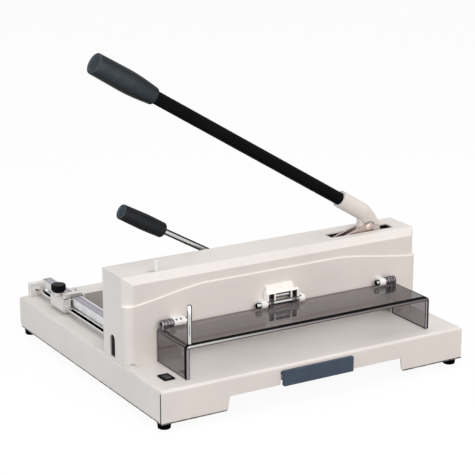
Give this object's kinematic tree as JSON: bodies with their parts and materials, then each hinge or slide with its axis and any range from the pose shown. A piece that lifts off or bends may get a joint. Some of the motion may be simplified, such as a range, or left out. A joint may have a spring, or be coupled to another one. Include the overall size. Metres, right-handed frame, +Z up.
{
  "type": "stack paper cutter",
  "caption": "Desk stack cutter: a long lever drives a sloping blade through straps in a housing, with a clamp lever, swing-up smoked guard, back gauge and drawer.",
  "frame": {"origin": "on the desk under the middle of the whole outline, lever grip included; the base's middle lies 15 mm to +X", "axes": "+X along the cut to the right, +Y from the operator's side to the back, +Z up from the desk"},
  "size_m": [0.5899, 0.5238, 0.5495],
  "materials": {
    "cream_paint": "satin",
    "cream_plastic": "satin",
    "frame_iron": "matte",
    "bare_steel": "brushed",
    "spring_steel": "satin",
    "blade_steel": "ground",
    "bright_chrome": "polished",
    "black_paint": "semi-gloss",
    "black_rubber": "soft matte",
    "black_plastic": "matte",
    "smoked_plastic": "polished",
    "slate_plastic": "satin",
    "pale_aluminium": "satin anodised",
    "white_plastic": "satin",
    "bearing_brass": "machined",
    "stick_plastic": "satin",
    "drawer_steel": "satin"
  },
  "bodies": {
    "base": {"base_shell": "cream_paint", "rubber_feet": "black_rubber", "cutting_stick": "stick_plastic", "stick_channel": "bare_steel", "left_pillar": "frame_iron", "right_pillar": "frame_iron", "front_beam": "frame_iron", "rear_beam": "frame_iron", "beam_bolts": "bare_steel", "pivot_bush": "bearing_brass", "return_spring": "spring_steel", "top_cover": "cream_paint", "lower_panel": "cream_paint", "rear_panel": "cream_paint", "housing_screws": "bare_steel", "hinge_barrels": "cream_plastic", "hinge_pins": "bright_chrome", "centre_hood": "cream_plastic", "hood_roller": "bare_steel", "gauge_rod": "bright_chrome", "gauge_bracket": "cream_plastic", "side_ruler": "pale_aluminium", "clamp_guides": "frame_iron", "clamp_bush": "bearing_brass", "line_lamp": "white_plastic", "switch_bezel": "black_plastic", "drawer_runners": "bare_steel", "lock_guide": "bare_steel"},
    "lever": {"lever_bracket": "cream_paint", "lever_tube": "black_paint", "lever_grip": "black_rubber", "lever_shaft": "bare_steel", "link_bolt": "bright_chrome"},
    "link": {"link_straps": "bare_steel"},
    "carrier": {"blade_carrier": "frame_iron", "blade": "blade_steel", "blade_screws": "bare_steel", "guide_rollers": "bare_steel", "carrier_pin": "bare_steel"},
    "clamp_lever": {"clamp_shaft": "bare_steel", "clamp_crank": "frame_iron", "clamp_hub": "cream_paint", "clamp_rod": "bright_chrome", "clamp_grip": "black_rubber"},
    "clamp": {"clamp_bar": "frame_iron", "clamp_pad": "black_plastic", "clamp_yoke": "bare_steel", "clamp_guide_rods": "bright_chrome"},
    "guard": {"guard_sheet": "smoked_plastic", "guard_knuckles": "smoked_plastic", "guard_rod": "bright_chrome"},
    "gauge": {"gauge_carriage": "cream_plastic", "gauge_beam": "cream_paint"},
    "knob": {"gauge_knob": "black_plastic"},
    "drawer": {"drawer_tray": "drawer_steel", "drawer_front": "slate_plastic"},
    "rocker": {"switch_rocker": "black_plastic"},
    "lock": {"lock_slider": "white_plastic"}
  },
  "joints": [
    {"name": "lever_swing", "type": "hinge", "parent": "base", "child": "lever", "pos_m": [0.2045, -0.1015, 0.1325], "axis": [0, -1, 0], "range_deg": [0, 29.3], "stiffness_Nm_per_rad": 6, "springref_deg": -63.03},
    {"name": "strap_swing", "type": "hinge", "parent": "lever", "child": "link", "pos_m": [0.20949, -0.1015, 0.21053], "axis": [0, -1, 0], "range_deg": [-7.3, 0]},
    {"name": "blade_slide", "type": "slide", "parent": "base", "child": "carrier", "axis": [-0.4381, 0, -0.8989], "range_m": [0, 0.0485]},
    {"name": "clamp_lever_swing", "type": "hinge", "parent": "base", "child": "clamp_lever", "pos_m": [0.025, -0.0485, 0.1461], "axis": [0, -1, 0], "range_deg": [0, 37.8]},
    {"name": "clamp_slide", "type": "slide", "parent": "base", "child": "clamp", "axis": [0, 0, -1], "range_m": [0, 0.0435]},
    {"name": "guard_swing", "type": "hinge", "parent": "base", "child": "guard", "pos_m": [0.015, -0.153, 0.1285], "axis": [-1, 0, 0], "range_deg": [0, 55]},
    {"name": "gauge_slide", "type": "slide", "parent": "base", "child": "gauge", "axis": [0, 1, 0], "range_m": [-0.145, 0.062]},
    {"name": "knob_turn", "type": "hinge", "parent": "gauge", "child": "knob", "pos_m": [-0.2345, 0.163, 0.098], "axis": [0, 0, 1], "range_deg": [0, 180]},
    {"name": "drawer_slide", "type": "slide", "parent": "base", "child": "drawer", "axis": [0, -1, 0], "range_m": [0, 0.12]},
    {"name": "rocker_press", "type": "hinge", "parent": "base", "child": "rocker", "pos_m": [-0.231, -0.2105, 0.0645], "axis": [1, 0, 0], "range_deg": [0, 14]},
    {"name": "lock_slide", "type": "slide", "parent": "base", "child": "lock", "axis": [-1, 0, 0], "range_m": [0, 0.012]}
  ],
  "couplings": [
    {"joint": "strap_swing", "follows": "lever_swing", "ratio": -0.24397},
    {"joint": "blade_slide", "follows": "lever_swing", "m_per_rad": 0.094566},
    {"joint": "clamp_slide", "follows": "clamp_lever_swing", "m_per_rad": 0.065792}
  ]
}
